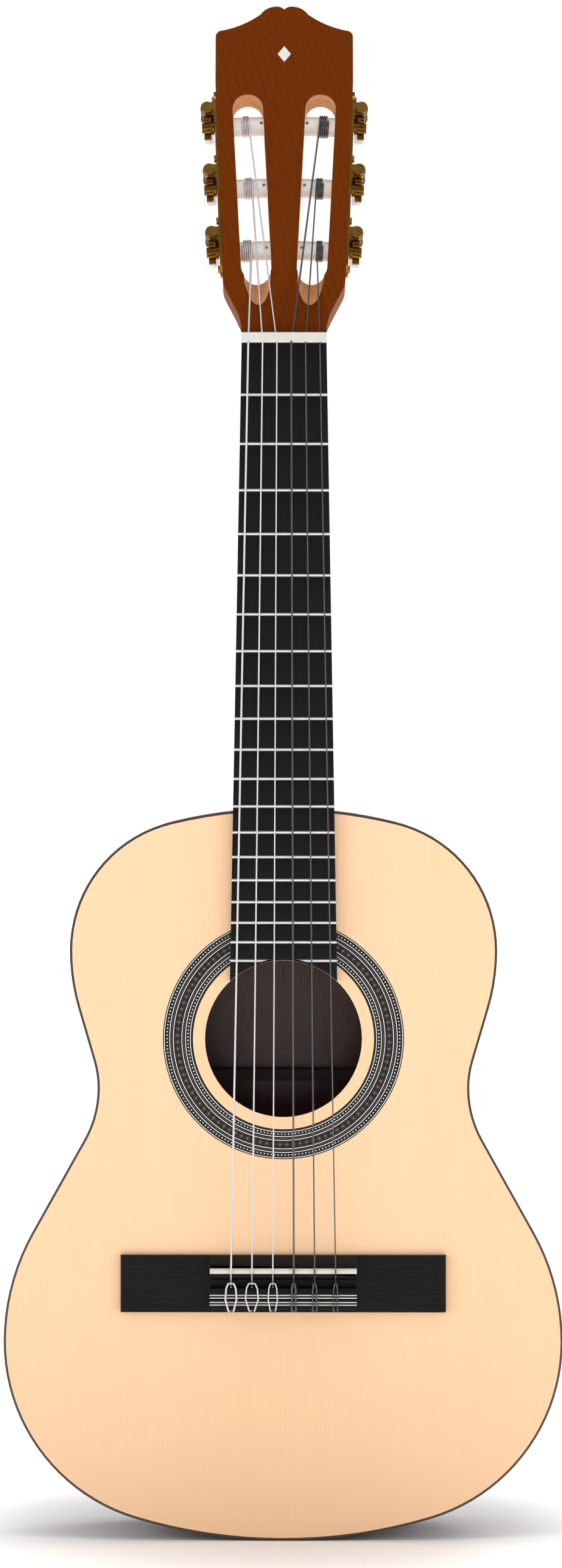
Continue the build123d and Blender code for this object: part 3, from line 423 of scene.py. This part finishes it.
def bared_head():
    """Pale wood in the slots and on the ramps, stained wood on the edges, crest and back."""
    material = wood("head_wood", shade(206, 146, 98), shade(158, 98, 56), ring_width=0.007,
                    rings=0.28, wander=0.6, fibres=0.8, patches=0.6, pores=0.4, gloss=0.6,
                    lacquer=0.0, sheen=0.08)
    tree = material.node_tree
    shader = tree.nodes["Principled BSDF"].inputs
    bare = shader["Base Color"].links[0].from_socket
    place = tree.nodes.new("ShaderNodeSeparateXYZ")
    tree.links.new(tree.nodes["Texture Coordinate"].outputs["Object"], place.inputs[0])
    facing_way = tree.nodes.new("ShaderNodeSeparateXYZ")
    geometry = tree.nodes.new("ShaderNodeNewGeometry")
    tree.links.new(geometry.outputs["Normal"], facing_way.inputs[0])
    joint, shoulder, crest = 0.634, 0.650, 0.7575
    straight_from, half_low, half_high, backward = shoulder + 0.020, 0.0216, 0.0276, 0.9
    reach = tree.nodes.new("ShaderNodeMapRange")
    reach.inputs["From Min"].default_value = shoulder
    reach.inputs["From Max"].default_value = straight_from
    reach.inputs["To Min"].default_value = half_low
    reach.inputs["To Max"].default_value = half_high
    tree.links.new(place.outputs["Z"], reach.inputs["Value"])
    aside = calc(tree, "ABSOLUTE", place.outputs["X"])
    edge = calc(tree, "GREATER_THAN", aside, reach.outputs["Result"])
    behind = calc(tree, "GREATER_THAN", facing_way.outputs["Y"], backward)
    beyond = calc(tree, "MAXIMUM", calc(tree, "GREATER_THAN", place.outputs["Z"], crest),
                  calc(tree, "LESS_THAN", place.outputs["Z"], joint))
    stained = calc(tree, "MAXIMUM", edge, calc(tree, "MAXIMUM", behind, beyond))
    stain = tree.nodes.new("ShaderNodeMix")
    stain.data_type = "RGBA"
    stain.blend_type = "MULTIPLY"
    stain.inputs[7].default_value = (0.36, 0.22, 0.13, 1.0)
    tree.links.new(stained, stain.inputs[0])
    tree.links.new(bare, stain.inputs[6])
    tree.links.new(stain.outputs[2], shader["Base Color"])
    return material


dress(bared_head(), "headstock")


# ---------------------------------------------------------------- pearl
# The diamond let into the facing is cut from shell. The six tuning buttons are moulded from
# plastic that imitates it, with the same swirled bands under a gloss.
def pearl_finish():
    """Swirled shell: soft cells whose colours run from warm to cool."""
    material, tree, shader, place = blank_finish("pearl")
    swirl = grains(tree, place, (260, 260, 90), 4.0)
    bands = calc(tree, "FRACT", calc(tree, "MULTIPLY", swirl, 5.0))
    bands = calc(tree, "ABSOLUTE", calc(tree, "SUBTRACT", bands, 0.5))
    colour = mixed(tree, bands, shade(214, 212, 206), shade(242, 238, 226))
    cool = grains(tree, place, (120, 120, 60))
    tree.links.new(mixed(tree, calc(tree, "MULTIPLY", cool, 0.3), colour, shade(206, 214, 226)),
                   shader["Base Color"])
    rough = calc(tree, "ADD", 0.16, calc(tree, "MULTIPLY", bands, 0.2))
    tree.links.new(rough, shader["Roughness"])
    shader["Coat Weight"].default_value = 0.5
    relief(tree, shader, bands, 0.00002)
    return material


pearl = pearl_finish()
dress(pearl, "head_inlay", *(f"button_{number}" for number in range(1, 7)))


# ---------------------------------------------------------------- fingerboard
# One piece of ebony, nearly black with a few brown streaks, oiled and not lacquered. Its end
# is hollowed to follow the soundhole.
ebony = wood("ebony_board", shade(25, 25, 25), shade(10, 10, 10), ring_width=0.003, rings=0.4,
             wander=0.6, fibres=0.8, patches=0.5, pores=0.3, gloss=0.48, lacquer=0.0,
             sheen=0.12)
def eased(node, name, width, finish, free):
    """The node's own shape with its free sharp edges rounded over, as sandpaper leaves them."""
    shape = bmesh.new()
    shape.from_mesh(frame["nodes"][node].data)
    same_place, flat, corner, crease = 0.000002, radians(0.2), radians(40), radians(32)
    bmesh.ops.remove_doubles(shape, verts=shape.verts, dist=same_place)
    bmesh.ops.dissolve_limit(shape, angle_limit=flat, verts=shape.verts, edges=shape.edges)
    sharp = [edge for edge in shape.edges
             if edge.is_manifold and edge.calc_face_angle() > corner and free(edge)]
    bmesh.ops.bevel(shape, geom=sharp, offset=width, offset_type="OFFSET", segments=3,
                    profile=0.5, affect="EDGES", material=-1)
    for face in shape.faces:
        face.smooth = True
    for edge in shape.edges:
        edge.smooth = edge.is_manifold and edge.calc_face_angle() < crease
    mesh = bpy.data.meshes.new(name)
    shape.to_mesh(mesh)
    shape.free()
    piece = bpy.data.objects.new(name, mesh)
    scene.collection.objects.link(piece)
    piece.data.materials.append(finish)
    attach(piece, "guitar")
    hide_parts(node)


board_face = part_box("fingerboard")[0].y
near, inside_edges, shortest_side = 0.0001, 0.0215, 0.003


def board_side(edge):
    """Whether both ends of an edge lie at the board's sides, on the playing face.

    These are the sides' own edges and those that cross the board: the nut end, the rims of the
    fret slots, and the short ones at the corners of the hollowed end.
    """
    outer = all(end.co.y < board_face + near and abs(end.co.x) > inside_edges
                for end in edge.verts)
    return outer and edge.calc_length() > shortest_side


eased("fingerboard", "fingerboard_eased", 0.0006, ebony, board_side)


# ---------------------------------------------------------------- frets
# Nineteen frets of nickel-silver wire with a round crown, hammered into the saw cuts. The last
# is parted by the hollow. A painted highlight lies along the crowns, and painted shade on the flanks.
def metal(name, bright, dull, rough, lines, depth):
    """Worn metal with fine polishing lines; lines is their scale along each axis."""
    material, tree, shader, place = blank_finish(name)
    scratch = grains(tree, place, lines, 2.0)
    stain = grains(tree, place, (210, 210, 210), 3.0)
    tree.links.new(mixed(tree, stain, bright, dull), shader["Base Color"])
    spread = calc(tree, "ADD", calc(tree, "MULTIPLY", scratch, 0.18),
                  calc(tree, "MULTIPLY", stain, 0.1))
    tree.links.new(calc(tree, "ADD", spread, rough), shader["Roughness"])
    shader["Metallic"].default_value = 1.0
    relief(tree, shader, scratch, depth)
    return material


def fret_finish_painted_highlight():
    """Nickel silver with a painted highlight along the crown and painted shade on both flanks."""
    material = metal("fret_wire", shade(250, 250, 252), shade(226, 226, 228), 0.42,
                     (60, 3000, 3000), 0.000004)
    tree = material.node_tree
    shader = tree.nodes["Principled BSDF"].inputs
    highlight_colour = shader["Base Color"].links[0].from_socket
    facing_way = tree.nodes.new("ShaderNodeSeparateXYZ")
    geometry = tree.nodes.new("ShaderNodeNewGeometry")
    tree.links.new(geometry.outputs["Normal"], facing_way.inputs[0])
    # Painted highlight: where the normal faces the camera the crown keeps the bright metal colour; the
    # flanks turn darker grey, a painted shade.
    flank, top = -0.84, -0.96
    crown_highlight = tree.nodes.new("ShaderNodeMapRange")
    crown_highlight.inputs["From Min"].default_value = flank
    crown_highlight.inputs["From Max"].default_value = top
    tree.links.new(facing_way.outputs["Y"], crown_highlight.inputs["Value"])
    tree.links.new(mixed(tree, crown_highlight.outputs["Result"], shade(112, 112, 114), highlight_colour),
                   shader["Base Color"])
    return material


dress(fret_finish_painted_highlight(), "frets")


# ---------------------------------------------------------------- nut and saddle
# Both are filed from bone, polished where the strings run, with faint grey flecks of grain.
def bone_finish():
    """Cream bone with soft clouds and short darker flecks."""
    material, tree, shader, place = blank_finish("bone")
    cloud = grains(tree, place, (180, 180, 180), 3.0)
    fleck = calc(tree, "GREATER_THAN", grains(tree, place, (500, 4000, 4000)), 0.68)
    colour = mixed(tree, cloud, shade(216, 214, 208), shade(196, 192, 183))
    tree.links.new(mixed(tree, calc(tree, "MULTIPLY", fleck, 0.3), colour, shade(176, 166, 148)),
                   shader["Base Color"])
    tree.links.new(calc(tree, "ADD", 0.22, calc(tree, "MULTIPLY", cloud, 0.2)), shader["Roughness"])
    relief(tree, shader, fleck, 0.000008)
    return material


bone = bone_finish()
dress(bone, "nut", "saddle")


# ---------------------------------------------------------------- bridge
# The bridge is carved from one piece of rosewood, dyed black: thin wings, a ridge that holds
# the saddle, and a tie block with six holes. It is glued to the soundboard.
bridge_wood = wood("bridge_wood", shade(28, 27, 27), shade(12, 11, 11), turn=(0, 90, 0),
                   ring_width=0.0024, rings=0.5, wander=0.4, fibres=0.9, patches=0.4, pores=0.4,
                   gloss=0.45, lacquer=0.0, sheen=0.12)
glue_line, shortest_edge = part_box("bridge")[1].y, 0.006


def off_the_glue(edge):
    """Whether an edge of the bridge is long and not on the face that is glued down."""
    above = any(end.co.y < glue_line - near for end in edge.verts)
    return above and edge.calc_length() > shortest_edge


eased("bridge", "bridge_eased", 0.0007, bridge_wood, off_the_glue)


# ---------------------------------------------------------------- tie block inlays
# Each of the two strips in the tie block is black wood between two white lines.
def lined_strip():
    """White edges and a dark middle, by height along the guitar."""
    material, tree, shader, place = blank_finish("tie_inlay_lines")
    apart = tree.nodes.new("ShaderNodeSeparateXYZ")
    tree.links.new(place, apart.inputs[0])
    low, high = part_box("tie_inlay")
    strip = 0.0019
    middle = (low.z + high.z) / 2
    step = (high.z - low.z - strip) / 2
    off = calc(tree, "ABSOLUTE", calc(tree, "SUBTRACT", apart.outputs["Z"], middle))
    off = calc(tree, "ABSOLUTE", calc(tree, "SUBTRACT", off, step))
    edge = calc(tree, "GREATER_THAN", off, 0.27 * strip)
    tone = calc(tree, "MULTIPLY", grains(tree, place, (900, 900, 900)), 0.3)
    pale = mixed(tree, tone, shade(222, 220, 212), shade(186, 180, 168))
    tree.links.new(mixed(tree, edge, black, pale), shader["Base Color"])
    tree.links.new(calc(tree, "ADD", 0.25, tone), shader["Roughness"])
    return material


dress(lined_strip(), "tie_inlay")


# ---------------------------------------------------------------- strings
# The three trebles are clear nylon. The three basses are silver-plated wire wound tightly on
# a nylon core. Each is looped round the tie block at its lower end.
def wound_finish():
    """Silver winding: fine ridges across the string, dulled in the grooves."""
    material, tree, shader, place = blank_finish("wound_string")
    apart = tree.nodes.new("ShaderNodeSeparateXYZ")
    tree.links.new(place, apart.inputs[0])
    turns = calc(tree, "SINE", calc(tree, "MULTIPLY", apart.outputs["Z"], 2 * pi / 0.00022))
    ridge = calc(tree, "ADD", calc(tree, "MULTIPLY", turns, 0.5), 0.5)
    tree.links.new(mixed(tree, ridge, shade(170, 170, 174), shade(244, 244, 246)),
                   shader["Base Color"])
    tree.links.new(calc(tree, "SUBTRACT", 0.42, calc(tree, "MULTIPLY", ridge, 0.14)),
                   shader["Roughness"])
    shader["Metallic"].default_value = 0.85
    relief(tree, shader, ridge, 0.00003)
    return material


def nylon_finish():
    """Clear nylon with a faint cloud in it."""
    material, tree, shader, place = blank_finish("nylon")
    cloud = grains(tree, place, (900, 900, 60))
    tree.links.new(mixed(tree, cloud, shade(92, 92, 94), shade(120, 120, 120)),
                   shader["Base Color"])
    tree.links.new(calc(tree, "ADD", 0.14, calc(tree, "MULTIPLY", cloud, 0.1)), shader["Roughness"])
    shader["Transmission Weight"].default_value = 0.7
    shader["IOR"].default_value = 1.53
    return material


wound, nylon = wound_finish(), nylon_finish()
dress(nylon, "string_1", "string_2", "string_3")
dress(wound, "string_4", "string_5", "string_6")


# ---------------------------------------------------------------- tuning machines
# Each side plate is gold-plated brass with a pair of lugs for every worm. A worm turns a small
# gear on the end of a plastic roller, and a pearl button sits on the worm's stem behind.
gold = metal("gold_plate", shade(182, 140, 70), shade(92, 62, 26), 0.14,
             (900, 900, 900), 0.000006)
dark_gold = metal("gold_gear", shade(150, 108, 48), shade(84, 56, 22), 0.26,
                  (900, 900, 900), 0.000008)
dress(gold, "tuner_plate_treble", "tuner_plate_bass", "plate_screws",
      *(f"worm_{number}" for number in range(1, 7)))
dress(dark_gold, *(f"gear_{number}" for number in range(1, 7)))


def plastic_finish():
    """White moulded plastic, a little yellowed and scuffed."""
    material, tree, shader, place = blank_finish("roller_plastic")
    cloud = grains(tree, place, (150, 150, 150), 3.0)
    tree.links.new(mixed(tree, cloud, shade(240, 240, 236), shade(222, 219, 208)),
                   shader["Base Color"])
    tree.links.new(calc(tree, "ADD", 0.3, calc(tree, "MULTIPLY", cloud, 0.2)), shader["Roughness"])
    relief(tree, shader, cloud, 0.00001)
    return material


dress(plastic_finish(), *(f"roller_{number}" for number in range(1, 7)))


# ---------------------------------------------------------------- string windings
# Above the nut each string runs over the front of its roller and is wound round it in a few
# close turns, which go round with the roller when its button is turned.
roller_radius, string_radii = 0.005, (0.00036, 0.00041, 0.00051, 0.00038, 0.00044, 0.00054)
end_depth = 0.0006
joints = {joint["name"]: joint for joint in frame["joints"]}


def winding(number):
    """Close turns of a string round its roller, from the place where the string meets it."""
    joint, radius = joints[f"roller_turn_{number}"], string_radii[number - 1]
    axis, middle = Vector(joint["axis"]), Vector(joint["pos_m"])
    points = [corner.co for corner in frame["nodes"][f"string_{number}"].data.vertices]
    top = max(point.z for point in points)
    ends = [point for point in points if point.z > top - end_depth]
    meets = sum(ends, Vector()) / len(ends) - middle
    along = axis * meets.dot(axis)
    out = (meets - along).normalized()
    outward = 1 if middle.x > 0 else -1
    up = -1 if axis.cross(out).z < 0 else 1
    steps, before, turns, pitch = 28, 0.55, 4.6, 2.1 * radius
    shift = outward * axis * pitch
    start = Matrix.Rotation(-up * before * 2 * pi, 4, axis) @ (out * (roller_radius + radius))
    start += middle + along - shift * before
    heading = up * axis.cross(start - middle - along)
    coil = bmesh.new()
    bmesh.ops.create_circle(coil, cap_ends=False, radius=radius, segments=10,
                            matrix=Matrix.Translation(start)
                            @ heading.to_track_quat("Z", "Y").to_matrix().to_4x4())
    bmesh.ops.spin(coil, geom=coil.verts[:] + coil.edges[:], cent=middle, axis=axis,
                   dvec=shift / steps, angle=up * turns * 2 * pi, steps=round(steps * turns),
                   use_merge=False)
    bmesh.ops.holes_fill(coil, edges=[edge for edge in coil.edges if edge.is_boundary])
    bmesh.ops.recalc_face_normals(coil, faces=coil.faces)
    for face in coil.faces:
        face.smooth = len(face.verts) == 4
    mesh = bpy.data.meshes.new(f"winding_{number}")
    coil.to_mesh(mesh)
    coil.free()
    piece = bpy.data.objects.new(f"winding_{number}", mesh)
    scene.collection.objects.link(piece)
    piece.data.materials.append(nylon if number <= 3 else wound)
    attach(piece, f"roller_{number}")


for number in range(1, 7):
    winding(number)
